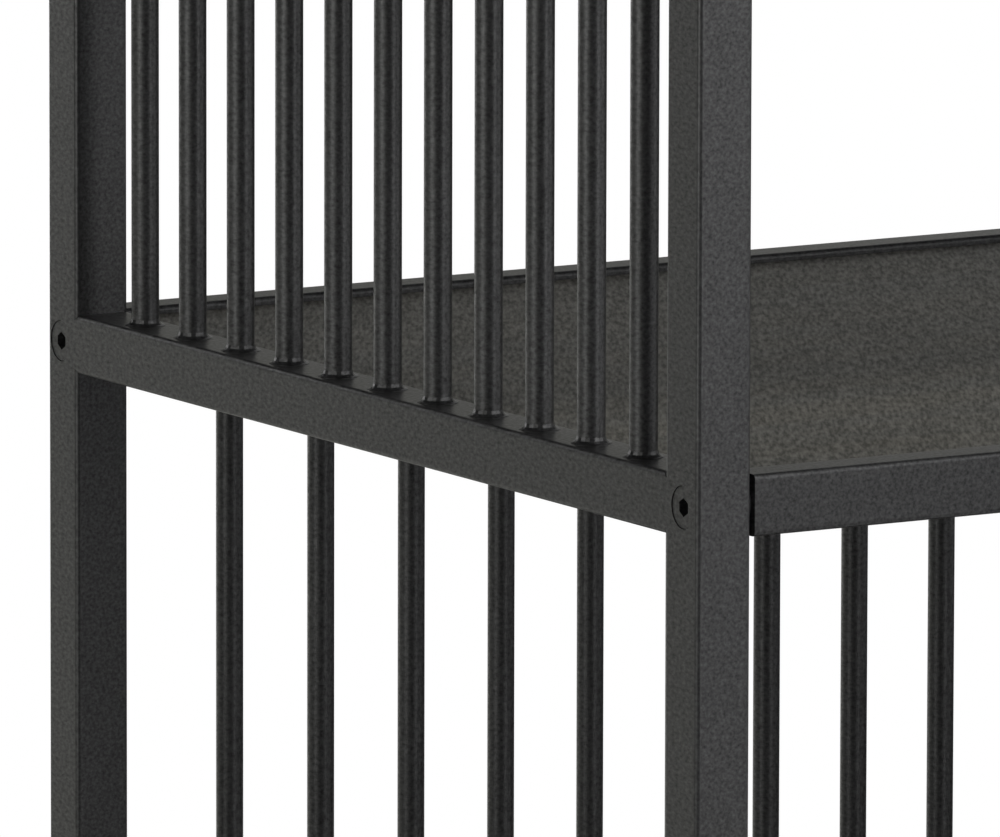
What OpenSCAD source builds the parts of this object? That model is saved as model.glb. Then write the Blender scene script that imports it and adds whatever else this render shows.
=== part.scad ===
// Storage crib in powder-coated square steel tube, with two shelves under the sleeping box.
// Origin: centre of the footprint, on the floor. X runs along the crib, -Y is the front, Z is up.
// Millimetres throughout.

/* [Overall] */
// Length over the corner posts
crib_length = 1278; // [1100:2:1500]
// Depth over the corner posts
crib_depth = 635; // [560:1:760]
// Height over the post caps
crib_height = 1100; // [1040:5:1200]

/* [Levels] */
// Top of the lower shelf's rails above the floor
lower_shelf_top = 100; // [80:5:130]
// Top of the storage shelf's rails above the floor
upper_shelf_top = 430; // [360:5:480]
// Underside of the sleeping box's panels above the floor
base_level = 680; // [600:5:720]
// Top of the fixed half of the front above the floor
sill_level = 880; // [840:5:920]
// Height of a post above the top rails
post_rise = 20; // [18:1:40]

/* [Posts and end bars] */
// Width of the square tube of the posts and end bars
post_w = 30; // [28:1:40]
// Wall of the post tube
post_wall = 2; // [1.5:0.5:3]
// Outer corner radius of the post tube
post_corner = 2.5; // [2.5:0.5:4]
// Thickness of a foot glide under the post
foot_h = 6; // [4:1:12]
// Thickness of a post cap above the post
cap_h = 2.5; // [2:0.5:5]
// Depth of a cap's or glide's plug inside the post
plug_depth = 14; // [10:1:16]
// Clearance round a plug in its tube
plug_clearance = 0.2; // [0.1:0.05:0.5]

/* [Shelf rails] */
// Height of a shelf rail
rail_h = 30; // [28:1:40]
// Depth of a shelf rail from its outer face
rail_d = 22; // [22:1:40]
// Steel thickness of the rails
rail_steel = 1.5; // [1:0.5:2]
// Thickness of the plate that closes a rail's end
end_plate = 3; // [2:0.5:5]
// Thickness of the spacer washer between rail and post
spacer_t = 2; // [1:0.5:4]

/* [Shelf boards] */
// Thickness of a shelf board
board_t = 15; // [12:1:18]
// Depth of the board's top below the rails' top
board_drop = 4; // [1:0.5:6]
// Gap between a board and the end bars
board_end_gap = 3; // [1:0.5:6]
// Gap between a board and the rails
board_side_gap = 1; // [0.5:0.5:3]
// Width of the ledge under a board's edge
ledge_w = 20; // [16:1:30]
// Steel thickness of the ledge angle
ledge_t = 2; // [1.5:0.5:3]
// Shank diameter of a board screw
screw_d = 4; // [3:0.5:5]
// Head diameter of a board screw
screw_head_d = 8; // [7:0.5:10]
// Depth of a board screw in the board
screw_grip = 10; // [6:1:11]

/* [Rods] */
// Diameter of the rods of the ends and of the rear grille
rod_d = 14; // [12:0.5:16]
// Diameter of the rods of the sleeping box's panels
panel_rod_d = 12; // [10:0.5:13]
// Spacing of the rods across an end
end_pitch = 48.6; // [45:0.1:60]
// Spacing of the rods along the crib
long_pitch = 54.1; // [45:0.1:60]
// Least distance from a post to the first rod of an end
end_margin = 40; // [30:1:60]
// Least distance from a post to the first rod along the crib
long_margin = 60; // [40:1:70]
// Wall of the rods, which are round tube
rod_wall = 1.2; // [1:0.1:2]
// Leg of the weld bead round a rod
weld = 1.5; // [1:0.25:2]

/* [Panels of the sleeping box] */
// Width of the panels' square tube
panel_w = 20; // [18:1:24]
// Wall of the panel tube
panel_wall = 1.5; // [1:0.25:2]
// Outer corner radius of the panel tube
panel_corner = 2; // [1.75:0.25:3]
// Distance of a panel behind the posts' outer faces
panel_setback = 7.5; // [7:0.5:8]
// Length of the threaded plug in a panel rail's end
insert_len = 22; // [18:1:30]

/* [Gate] */
// Gap between the gate and each post
gate_side_gap = 3; // [2:0.5:6]
// Gap between the gate and the fixed half below it
hinge_gap = 13; // [12:0.5:18]
// Number of hinges
hinge_count = 3; // [2:1:5]
// Width of a hinge
hinge_w = 60; // [48:1:90]
// Height of a hinge leaf on the tube
leaf_h = 16; // [14:1:18]
// Thickness of a hinge leaf
leaf_t = 2; // [1.5:0.25:2]
// Outer diameter of the hinge barrel
barrel_d = 10; // [9:0.5:10]
// Diameter of the hinge pin
pin_d = 5; // [4:0.5:6]
// Radial running clearance of the hinge pin
pin_clearance = 0.05; // [0.02:0.01:0.1]
// Gap between two knuckles of a hinge
knuckle_gap = 0.4; // [0.2:0.1:1]
// Shank diameter of a hinge rivet
rivet_d = 4; // [3:0.5:5]

/* [Gate latches] */
// Diameter of a latch bolt
latch_d = 8; // [6:0.5:10]
// Length of a latch bolt
latch_len = 100; // [90:1:140]
// Travel of a latch bolt into the post
latch_travel = 16; // [12:1:20]
// Distance of a latch bolt's tip inside the gate's end when it is drawn back
latch_set_in = 1; // [0.5:0.5:3]
// Distance of the latch knob from the gate's end
knob_place = 50; // [45:1:60]
// Diameter of a latch knob
knob_d = 18; // [14:1:20]
// Thickness of a latch knob
knob_h = 6; // [5:0.5:6.5]
// Length of a guide bush
bush_len = 12; // [8:1:16]
// Radial running clearance of a latch bolt
latch_clearance = 0.05; // [0.02:0.01:0.1]

/* [Mattress base] */
// Width of the base frame's square tube
base_w = 20; // [18:1:25]
// Gap between the base frame and the posts and panels
base_gap = 3; // [2:0.5:5]
// Width of a slat
slat_w = 40; // [30:1:50]
// Thickness of a slat
slat_t = 4; // [3:0.5:6]
// Spacing of the slats
slat_pitch = 95; // [80:1:110]
// Length of a bracket under the base
bracket_len = 50; // [40:1:80]
// Steel thickness of a bracket
bracket_t = 3; // [2:0.5:4]
// Width of a bracket's shelf
bracket_w = 24; // [20:1:30]
// Shank diameter of a base screw
base_screw_d = 6; // [5:0.5:8]

/* [Bolts] */
// Shank diameter of a shelf bolt
bolt_d = 8; // [6:0.5:9]
// Head diameter of a shelf bolt
bolt_head_d = 20.5; // [18:0.5:22]
// Distance of the shelf bolts from the post's centre line towards its outer face
bolt_out = 1.5; // [0:0.25:1.5]
// Width across flats of a shelf bolt's hexagon socket
bolt_socket = 8; // [6:0.5:9]
// Shank diameter of a panel bolt
panel_bolt_d = 8; // [6:0.5:9]
// Head diameter of a panel bolt
panel_head_d = 15; // [13:0.5:16]
// Width across flats of a panel bolt's hexagon socket
panel_socket = 5; // [4:0.5:6]
// Depth of a bolt head's rim
head_rim = 1; // [0.5:0.25:1.5]
// Distance of a bolt head below the post's face
head_recess = 0.4; // [0.2:0.1:0.8]
// Radial clearance of bolts in their holes
bolt_clearance = 0.3; // [0.2:0.05:0.5]
// Wall of the sleeve round a shelf bolt, beyond its head
sleeve_wall = 1; // [0.75:0.25:1]
// Width across flats of a shelf nut
nut_af = 13; // [11:1:13]
// Thickness of a shelf nut
nut_h = 6.5; // [5:0.5:8]
// Length of thread beyond a nut
thread_past_nut = 3; // [1:1:6]

/* [Hidden] */
$fn = 48;
eps = 0.01;
// Least inner corner radius of a tube
inner_corner = 0.25;

steel = "#3d3e42";
steel_light = "#4a4b50";
board_colour = "#46443f";
plastic = "#222326";
bright = "#9a9ca0";

// Inner faces and centre lines of the posts
inner_x = crib_length / 2 - post_w;
inner_y = crib_depth / 2 - post_w;
post_x = crib_length / 2 - post_w / 2;
post_y = crib_depth / 2 - post_w / 2;
bolt_y = post_y + bolt_out;
post_top = crib_height - cap_h;
cavity_w = post_w - 2 * post_wall;

// Top rails, panels and gate
top_level = post_top - post_rise;
panel_y = crib_depth / 2 - panel_setback - panel_w / 2;
panel_face = crib_depth / 2 - panel_setback;
gate_bottom = sill_level + hinge_gap;
gate_half = inner_x - gate_side_gap;
panel_bore = panel_w - 2 * panel_wall;

// Rods
end_rods = floor((2 * inner_y - 2 * end_margin) / end_pitch) + 1;
long_rods = floor((2 * inner_x - 2 * long_margin) / long_pitch) + 1;

// Shelf rails and boards
rail_half = inner_x - spacer_t;
board_half_x = inner_x - board_end_gap;
board_half_y = crib_depth / 2 - rail_d - board_side_gap;
ledge_y = crib_depth / 2 - rail_d;
screw_x = [-board_half_x + bracket_len, 0, board_half_x - bracket_len];
screw_y = ledge_y - ledge_w * 0.6;

// Bolts through the posts: heights on the centre line of what they hold
shelf_bolt_levels = [lower_shelf_top - rail_h / 2, upper_shelf_top - rail_h / 2];
bolt_len = post_w - head_recess + spacer_t + end_plate + nut_h + thread_past_nut;
panel_bolt_len = post_w - head_recess + insert_len * 0.75;
sleeve_d = bolt_head_d + 2 * sleeve_wall;
panel_sleeve_d = panel_head_d + 2 * sleeve_wall;
front_levels = [base_level + panel_w / 2, sill_level - panel_w / 2];
back_levels = [base_level + panel_w / 2, top_level - panel_w / 2];

// Hinges: the pin lies just in front of the panel's face, halfway up the gap below the gate
pin_y = -(crib_depth / 2 - barrel_d / 2);
pin_z = sill_level + hinge_gap / 2;
hinge_step = 2 * gate_half / hinge_count;
hinge_x = [for (i = [0 : hinge_count - 1]) (i - (hinge_count - 1) / 2) * hinge_step];
knuckle_w = hinge_w / 3;
pin_head_d = barrel_d - 2;
pin_head_h = 1;

// Latches
latch_z = top_level - panel_w / 2;
latch_tip = gate_half - latch_set_in;
slot_w = latch_d;
stem_d = latch_d - 2;
stud_d = stem_d * 0.6;
knob_gap = 0.5;

// Mattress base
base_half_x = inner_x - base_gap;
base_half_y = panel_face - panel_w - base_gap;
base_bottom = base_level + bracket_t;
base_top = base_bottom + base_w;
slat_count = floor((2 * base_half_x - 2 * base_w - slat_w) / slat_pitch) + 1;
bracket_x = [-base_half_x + 2 * bracket_len, 0, base_half_x - 2 * bracket_len];

// --- Shared shapes ---

module rounded_rect(w, h, r) {
    square([w - 2 * r, h], center = true);
    square([w, h - 2 * r], center = true);
    for (x = [-1, 1], y = [-1, 1])
        translate([x * (w / 2 - r), y * (h / 2 - r)])
            circle(r = r);
}

module tube_section(w, h, wall, r) {
    difference() {
        rounded_rect(w, h, r);
        rounded_rect(w - 2 * wall, h - 2 * wall, max(r - wall, inner_corner));
    }
}

// Extrusions of a flat section along X and along Y, centred on the origin
module along_x(length) {
    translate([-length / 2, 0, 0])
        rotate([90, 0, 90])
            linear_extrude(length)
                children();
}

module along_y(length) {
    translate([0, length / 2, 0])
        rotate([90, 0, 0])
            linear_extrude(length)
                children();
}

// What sits in a post's side, drawn along +Z from the post's outer face, is turned to point inwards
module into_post(side, y, z) {
    translate([side * crib_length / 2, y, z])
        rotate([0, -side * 90, 0])
            children();
}

module at_shelf_bolts() {
    for (side = [-1, 1], row = [-1, 1], level = shelf_bolt_levels)
        into_post(side, row * bolt_y, level)
            children();
}

module at_panel_bolts() {
    for (side = [-1, 1]) {
        for (level = front_levels)
            into_post(side, -panel_y, level)
                children();
        for (level = back_levels)
            into_post(side, panel_y, level)
                children();
    }
}

// A round tube with a weld bead at each end, standing on z = 0
module welded_rod(d, height) {
    difference() {
        union() {
            cylinder(d = d, h = height);
            cylinder(d1 = d + 2 * weld, d2 = d, h = weld);
            translate([0, 0, height - weld])
                cylinder(d1 = d, d2 = d + 2 * weld, h = weld);
        }
        translate([0, 0, -eps])
            cylinder(d = d - 2 * rod_wall, h = height + 2 * eps);
    }
}

module rod_row_x(count, pitch, y, z, d, height) {
    for (i = [0 : count - 1])
        translate([(i - (count - 1) / 2) * pitch, y, z])
            welded_rod(d, height);
}

module rod_row_y(count, pitch, x, z, d, height) {
    for (i = [0 : count - 1])
        translate([x, (i - (count - 1) / 2) * pitch, z])
            welded_rod(d, height);
}

// A flat-head bolt with its head's face on z = 0 and its shank along +Z
module flat_bolt(d, head, socket, length) {
    cone = (head - d) / 2;
    difference() {
        union() {
            cylinder(d = head, h = head_rim);
            translate([0, 0, head_rim])
                cylinder(d1 = head, d2 = d, h = cone);
            cylinder(d = d, h = length);
        }
        translate([0, 0, -eps])
            cylinder(d = socket / cos(30), h = cone, $fn = 6);
    }
}

// The sleeve that keeps a bolt from crushing the post, countersunk for the bolt's head
module bolt_sleeve(outer, d, head) {
    cone = (head - d) / 2;
    difference() {
        translate([0, 0, post_wall])
            cylinder(d = outer, h = cavity_w);
        cylinder(d = d + 2 * bolt_clearance, h = post_w);
        cylinder(d = head + 2 * bolt_clearance, h = head_recess + head_rim);
        translate([0, 0, head_recess + head_rim])
            cylinder(d1 = head + 2 * bolt_clearance, d2 = d + 2 * bolt_clearance, h = cone);
    }
}

// The hole for a bolt through a post: wide for the head outside, narrow for the shank inside
module bolt_hole(d, head) {
    translate([0, 0, -eps])
        cylinder(d = head + 2 * bolt_clearance, h = post_wall + 2 * eps);
    cylinder(d = d + 2 * bolt_clearance, h = post_w + eps);
}

// --- Posts ---

module post(side, row) {
    difference() {
        translate([side * post_x, row * post_y, foot_h])
            linear_extrude(post_top - foot_h)
                tube_section(post_w, post_w, post_wall, post_corner);
        for (level = shelf_bolt_levels)
            into_post(side, row * bolt_y, level)
                bolt_hole(bolt_d, bolt_head_d);
        for (level = row < 0 ? front_levels : back_levels)
            into_post(side, row * panel_y, level)
                bolt_hole(panel_bolt_d, panel_head_d);
        if (row < 0)
            translate([side * inner_x, -panel_y, latch_z])
                rotate([0, 90, 0])
                    cylinder(d = latch_d + 2, h = 4 * post_wall, center = true);
    }
}

module post_front_left() {
    color(steel) post(-1, -1);
}

module post_front_right() {
    color(steel) post(1, -1);
}

module post_back_left() {
    color(steel) post(-1, 1);
}

module post_back_right() {
    color(steel) post(1, 1);
}

module post_plug() {
    plug_w = cavity_w - 2 * plug_clearance;
    linear_extrude(plug_depth)
        rounded_rect(plug_w, plug_w, post_corner - post_wall / 2);
}

module post_caps() {
    color(plastic)
        for (side = [-1, 1], row = [-1, 1])
            translate([side * post_x, row * post_y, post_top]) {
                linear_extrude(cap_h * 0.6)
                    rounded_rect(post_w, post_w, post_corner);
                linear_extrude(cap_h)
                    rounded_rect(post_w - cap_h, post_w - cap_h, post_corner);
                translate([0, 0, -plug_depth])
                    post_plug();
            }
}

module foot_glides() {
    color(plastic)
        for (side = [-1, 1], row = [-1, 1])
            translate([side * post_x, row * post_y, 0]) {
                linear_extrude(foot_h / 3)
                    rounded_rect(post_w - post_wall, post_w - post_wall, post_corner);
                translate([0, 0, foot_h / 3])
                    linear_extrude(foot_h * 2 / 3)
                        rounded_rect(post_w, post_w, post_corner);
                translate([0, 0, foot_h])
                    post_plug();
            }
}

// --- End frames ---

module end_bar(side, top) {
    translate([side * post_x, 0, top - post_w / 2])
        along_y(2 * inner_y)
            tube_section(post_w, post_w, post_wall, post_corner);
}

module end_rods_at(side) {
    bottom = upper_shelf_top;
    rod_row_y(end_rods, end_pitch, side * post_x, bottom, rod_d, top_level - post_w - bottom);
}

module left_shelf_bar() {
    color(steel) end_bar(-1, upper_shelf_top);
}

module left_foot_bar() {
    color(steel) end_bar(-1, lower_shelf_top);
}

module left_top_rail() {
    color(steel) end_bar(-1, top_level);
}

module left_end_rods() {
    color(steel_light) end_rods_at(-1);
}

module right_shelf_bar() {
    color(steel) end_bar(1, upper_shelf_top);
}

module right_foot_bar() {
    color(steel) end_bar(1, lower_shelf_top);
}

module right_top_rail() {
    color(steel) end_bar(1, top_level);
}

module right_end_rods() {
    color(steel_light) end_rods_at(1);
}

// --- Shelf rails: the section's outer face is at depth 0 and its top at height 0 ---

module rail_box(inset, r) {
    translate([rail_d / 2, -rail_h / 2])
        rounded_rect(rail_d - 2 * inset, rail_h - 2 * inset, r);
}

module rail_section() {
    difference() {
        rail_box(0, post_corner);
        rail_box(rail_steel, max(post_corner - rail_steel, inner_corner));
    }
}

// A rail along the front at a given height, with plates in its ends
module shelf_rail(top) {
    translate([0, -crib_depth / 2, top])
        difference() {
            union() {
                along_x(2 * rail_half)
                    rail_section();
                for (side = [-1, 1])
                    translate([side * (rail_half - end_plate / 2), 0, 0])
                        along_x(end_plate)
                            rail_box(rail_steel / 2, post_corner - rail_steel / 2);
            }
            for (side = [-1, 1])
                translate([side * rail_half, post_w / 2 - bolt_out, -rail_h / 2])
                    rotate([0, 90, 0])
                        cylinder(d = bolt_d + 2 * bolt_clearance, h = 4 * end_plate, center = true);
        }
}

module shelf_rail_front() {
    color(steel) shelf_rail(upper_shelf_top);
}

module shelf_rail_back() {
    color(steel) mirror([0, 1, 0]) shelf_rail(upper_shelf_top);
}

module lower_rail_front() {
    color(steel) shelf_rail(lower_shelf_top);
}

module lower_rail_back() {
    color(steel) mirror([0, 1, 0]) shelf_rail(lower_shelf_top);
}

// Ledges: an angle against the rail's inner face, its flange under the board's edge
module ledge(row, top) {
    flange_top = top - board_drop - board_t;
    leg = flange_top - (top - rail_h);
    translate([0, row * ledge_y, flange_top])
        difference() {
            union() {
                translate([0, -row * ledge_w / 2, -ledge_t / 2])
                    cube([2 * board_half_x, ledge_w, ledge_t], center = true);
                translate([0, -row * ledge_t / 2, -leg / 2])
                    cube([2 * board_half_x, ledge_t, leg], center = true);
            }
            for (x = screw_x)
                translate([x, row * (screw_y - ledge_y), -2 * ledge_t])
                    cylinder(d = screw_d + 0.4, h = 3 * ledge_t);
        }
}

module ledges(top) {
    for (row = [-1, 1])
        ledge(row, top);
}

module board(top) {
    difference() {
        translate([-board_half_x, -board_half_y, top - board_drop - board_t])
            cube([2 * board_half_x, 2 * board_half_y, board_t]);
        for (x = screw_x, row = [-1, 1])
            translate([x, row * screw_y, top - board_drop - board_t - eps])
                cylinder(d = screw_d + 0.1, h = screw_grip + 0.5);
    }
}

module screws_under(top) {
    for (x = screw_x, row = [-1, 1])
        translate([x, row * screw_y, top - board_drop - board_t - ledge_t]) {
            cylinder(d = screw_d, h = ledge_t + screw_grip);
            translate([0, 0, -screw_d / 2])
                cylinder(d1 = screw_head_d * 0.7, d2 = screw_head_d, h = screw_d / 2);
        }
}

module shelf_ledges() {
    color(steel) ledges(upper_shelf_top);
}

module shelf_board() {
    color(board_colour) board(upper_shelf_top);
}

module lower_ledges() {
    color(steel) ledges(lower_shelf_top);
}

module lower_board() {
    color(board_colour) board(lower_shelf_top);
}

module board_screws() {
    color(bright)
        for (top = [lower_shelf_top, upper_shelf_top])
            screws_under(top);
}

module rear_grille_rods() {
    bottom = lower_shelf_top;
    color(steel_light)
        rod_row_x(long_rods, long_pitch, post_y, bottom, rod_d, upper_shelf_top - rail_h - bottom);
}

// --- Bolts of the shelf rails ---

module shelf_bolts() {
    color(plastic)
        at_shelf_bolts()
            translate([0, 0, head_recess])
                flat_bolt(bolt_d, bolt_head_d, bolt_socket, bolt_len);
}

module shelf_bolt_sleeves() {
    color(bright)
        at_shelf_bolts()
            bolt_sleeve(sleeve_d, bolt_d, bolt_head_d);
}

module shelf_spacers() {
    color(plastic)
        at_shelf_bolts()
            translate([0, 0, post_w])
                difference() {
                    cylinder(d = bolt_head_d, h = spacer_t);
                    translate([0, 0, -eps])
                        cylinder(d = bolt_d + 2 * bolt_clearance, h = spacer_t + 2 * eps);
                }
}

module shelf_nuts() {
    color(bright)
        at_shelf_bolts()
            translate([0, 0, post_w + spacer_t + end_plate])
                difference() {
                    cylinder(d = nut_af / cos(30), h = nut_h, $fn = 6);
                    translate([0, 0, -eps])
                        cylinder(d = bolt_d + 0.1, h = nut_h + 2 * eps);
                }
}

// --- Panels of the sleeping box ---

module panel_rail(row, top) {
    translate([0, row * panel_y, top - panel_w / 2])
        along_x(2 * inner_x)
            tube_section(panel_w, panel_w, panel_wall, panel_corner);
}

module stiles(row, bottom, top, half) {
    for (side = [-1, 1])
        translate([side * (half - panel_w / 2), row * panel_y, bottom])
            linear_extrude(top - bottom)
                tube_section(panel_w, panel_w, panel_wall, panel_corner);
}

module panel_rods(row, bottom, top) {
    rod_row_x(long_rods, long_pitch, row * panel_y, bottom, panel_rod_d, top - bottom);
}

module back_bottom_rail() {
    color(steel) panel_rail(1, base_level + panel_w);
}

module back_top_rail() {
    color(steel) panel_rail(1, top_level);
}

module back_stiles() {
    color(steel) stiles(1, base_level + panel_w, top_level - panel_w, inner_x);
}

module back_rods() {
    color(steel_light) panel_rods(1, base_level + panel_w, top_level - panel_w);
}

module front_bottom_rail() {
    color(steel) panel_rail(-1, base_level + panel_w);
}

module front_sill_rail() {
    color(steel) panel_rail(-1, sill_level);
}

module front_stiles() {
    color(steel) stiles(-1, base_level + panel_w, sill_level - panel_w, inner_x);
}

module front_rods() {
    color(steel_light) panel_rods(-1, base_level + panel_w, sill_level - panel_w);
}

module panel_bolts() {
    color(plastic)
        at_panel_bolts()
            translate([0, 0, head_recess])
                flat_bolt(panel_bolt_d, panel_head_d, panel_socket, panel_bolt_len);
}

module panel_bolt_sleeves() {
    color(bright)
        at_panel_bolts()
            bolt_sleeve(panel_sleeve_d, panel_bolt_d, panel_head_d);
}

module panel_inserts() {
    insert_w = panel_bore - 2 * plug_clearance;
    color(plastic)
        at_panel_bolts()
            translate([0, 0, post_w])
                difference() {
                    linear_extrude(insert_len)
                        rounded_rect(insert_w, insert_w, panel_corner / 2);
                    translate([0, 0, -eps])
                        cylinder(d = panel_bolt_d + 0.1, h = insert_len + 2 * eps);
                }
}

// --- Mattress base ---

module base_long_tube(row) {
    translate([0, row * (base_half_y - base_w / 2), base_bottom + base_w / 2])
        difference() {
            along_x(2 * base_half_x)
                tube_section(base_w, base_w, panel_wall, panel_corner);
            for (x = bracket_x)
                translate([x, 0, -base_w / 2 - eps])
                    cylinder(d = base_screw_d + 0.1, h = 2 * panel_wall);
        }
}

module base_front_tube() {
    color(steel) base_long_tube(-1);
}

module base_back_tube() {
    color(steel) base_long_tube(1);
}

module base_end_tubes() {
    color(steel)
        for (side = [-1, 1])
            translate([side * (base_half_x - base_w / 2), 0, base_bottom + base_w / 2])
                along_y(2 * (base_half_y - base_w))
                    tube_section(base_w, base_w, panel_wall, panel_corner);
}

module base_slats() {
    color(steel_light)
        for (i = [0 : slat_count - 1])
            translate([(i - (slat_count - 1) / 2) * slat_pitch, 0, base_top + slat_t / 2])
                cube([slat_w, 2 * base_half_y - 2 * panel_corner, slat_t], center = true);
}

// Brackets welded to the inner faces of the panels' bottom rails
module base_brackets() {
    wall_y = panel_face - panel_w;
    color(steel)
        for (x = bracket_x, row = [-1, 1])
            translate([x, row * wall_y, base_level])
                difference() {
                    union() {
                        translate([0, -row * bracket_w / 2, bracket_t / 2])
                            cube([bracket_len, bracket_w, bracket_t], center = true);
                        translate([0, -row * (base_gap - eps) / 2, panel_w / 2])
                            cube([bracket_len, base_gap - eps, panel_w], center = true);
                    }
                    translate([0, row * (base_half_y - base_w / 2 - wall_y), -eps])
                        cylinder(d = base_screw_d + 2 * bolt_clearance, h = 3 * bracket_t);
                }
}

module base_screws() {
    color(bright)
        for (x = bracket_x, row = [-1, 1])
            translate([x, row * (base_half_y - base_w / 2), base_level]) {
                cylinder(d = base_screw_d, h = bracket_t + panel_wall + base_screw_d);
                translate([0, 0, -base_screw_d / 2])
                    cylinder(d = 2 * base_screw_d, h = base_screw_d / 2);
            }
}

// --- Gate ---

module gate_rail(top) {
    translate([0, -panel_y, top - panel_w / 2])
        along_x(2 * gate_half)
            tube_section(panel_w, panel_w, panel_wall, panel_corner);
}

module gate_bottom_rail() {
    color(steel) gate_rail(gate_bottom + panel_w);
}

// The slot lets a knob's stem travel with its bolt
module knob_slot(side) {
    for (shift = [0, latch_travel])
        translate([side * (gate_half - knob_place + shift), -panel_face - panel_wall, latch_z])
            rotate([-90, 0, 0])
                cylinder(d = slot_w, h = 3 * panel_wall);
    translate([side * (gate_half - knob_place + latch_travel / 2), -panel_face, latch_z])
        cube([latch_travel, 3 * panel_wall, slot_w], center = true);
}

module gate_top_rail() {
    color(steel)
        difference() {
            gate_rail(top_level);
            for (side = [-1, 1])
                knob_slot(side);
        }
}

module gate_stiles() {
    color(steel) stiles(-1, gate_bottom + panel_w, top_level - panel_w, gate_half);
}

module gate_rods() {
    color(steel_light) panel_rods(-1, gate_bottom + panel_w, top_level - panel_w);
}

// --- Hinges ---

module knuckle(from, to) {
    translate([from, pin_y, pin_z])
        rotate([0, 90, 0])
            difference() {
                cylinder(d = barrel_d, h = to - from);
                translate([0, 0, -eps])
                    cylinder(d = pin_d + 2 * pin_clearance, h = to - from + 2 * eps);
            }
}

// A leaf lies on the tube's front face and reaches the barrel: up = 1 for the gate, -1 for the sill
module leaf_plate(from, to, up) {
    reach = hinge_gap / 2 + leaf_h;
    bottom = up > 0 ? pin_z : pin_z - reach;
    difference() {
        translate([from, -panel_face - leaf_t, bottom])
            cube([to - from, leaf_t, reach]);
        translate([from - eps, pin_y, pin_z])
            rotate([0, 90, 0])
                cylinder(d = barrel_d - 2, h = to - from + 2 * eps);
    }
}

module rivet_holes(up) {
    for (x = hinge_x, s = [-1, 1])
        translate([x + s * hinge_w / 3, -panel_face + eps, pin_z + up * (hinge_gap / 2 + leaf_h / 2)])
            rotate([90, 0, 0])
                cylinder(d = rivet_d + 0.1, h = leaf_t + 2 * eps);
}

// The part of a leaf that lies on the tube, as wide as the hinge
module leaf_pad(x, up) {
    z = up > 0 ? pin_z + hinge_gap / 2 : pin_z - hinge_gap / 2 - leaf_h;
    translate([x - hinge_w / 2, -panel_face - leaf_t, z])
        cube([hinge_w, leaf_t, leaf_h]);
}

module hinge_fixed_leaves() {
    half = knuckle_w / 2 - knuckle_gap / 2;
    color(plastic)
        difference() {
            for (x = hinge_x) {
                knuckle(x - half, x + half);
                leaf_plate(x - half, x + half, -1);
                leaf_pad(x, -1);
            }
            rivet_holes(-1);
        }
}

module hinge_gate_leaves() {
    near = knuckle_w / 2 + knuckle_gap / 2;
    color(plastic)
        difference() {
            for (x = hinge_x) {
                for (s = [-1, 1]) {
                    from = s > 0 ? x + near : x - hinge_w / 2;
                    to = s > 0 ? x + hinge_w / 2 : x - near;
                    knuckle(from, to);
                    leaf_plate(from, to, 1);
                }
                leaf_pad(x, 1);
            }
            rivet_holes(1);
        }
}

module hinge_pins() {
    color(bright)
        for (x = hinge_x)
            translate([x - hinge_w / 2, pin_y, pin_z])
                rotate([0, 90, 0]) {
                    cylinder(d = pin_d, h = hinge_w);
                    translate([0, 0, -pin_head_h - knuckle_gap / 2])
                        cylinder(d = pin_head_d, h = pin_head_h);
                    translate([0, 0, -knuckle_gap])
                        cylinder(d = pin_d, h = hinge_w + 2 * knuckle_gap);
                    translate([0, 0, hinge_w + knuckle_gap / 2])
                        cylinder(d = pin_head_d, h = pin_head_h);
                }
}

module rivets(up) {
    for (x = hinge_x, s = [-1, 1])
        translate([x + s * hinge_w / 3, -panel_face, pin_z + up * (hinge_gap / 2 + leaf_h / 2)])
            rotate([90, 0, 0]) {
                cylinder(d = rivet_d, h = leaf_t);
                translate([0, 0, leaf_t])
                    cylinder(d1 = 1.8 * rivet_d, d2 = rivet_d, h = rivet_d / 4);
            }
}

module sill_rivets() {
    color(bright) rivets(-1);
}

module gate_rivets() {
    color(bright) rivets(1);
}

// --- Latches: drawn back at rest, each slides outwards into its post ---

module latch_guides() {
    bush_w = panel_bore - 2 * plug_clearance;
    color(plastic)
        for (side = [-1, 1], back = [0, latch_len - 2 * bush_len])
            translate([side * (gate_half - bush_len / 2 - back), -panel_y, latch_z])
                difference() {
                    along_x(bush_len)
                        rounded_rect(bush_w, bush_w, panel_corner / 2);
                    rotate([0, 90, 0])
                        cylinder(d = latch_d + 2 * latch_clearance, h = 2 * bush_len, center = true);
                }
}

module latch_bolt(side) {
    color(bright)
        difference() {
            translate([side * (latch_tip - latch_len / 2), -panel_y, latch_z])
                rotate([0, 90, 0])
                    cylinder(d = latch_d, h = latch_len, center = true);
            translate([side * (gate_half - knob_place), -panel_y, latch_z])
                rotate([90, 0, 0])
                    cylinder(d = stud_d + 2 * latch_clearance, h = latch_d);
        }
}

module latch_knob(side) {
    color(plastic)
        translate([side * (gate_half - knob_place), -panel_face, latch_z])
            rotate([90, 0, 0]) {
                translate([0, 0, knob_gap])
                    cylinder(d = knob_d, h = knob_h);
                translate([0, 0, latch_d / 2 + latch_clearance - panel_w / 2])
                    cylinder(d = stem_d, h = panel_w / 2 - latch_d / 2);
                translate([0, 0, knob_gap - panel_w / 2])
                    cylinder(d = stud_d, h = panel_w / 2);
            }
}

module latch_bolt_left() {
    latch_bolt(-1);
}

module latch_bolt_right() {
    latch_bolt(1);
}

module latch_knob_left() {
    latch_knob(-1);
}

module latch_knob_right() {
    latch_knob(1);
}

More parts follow.
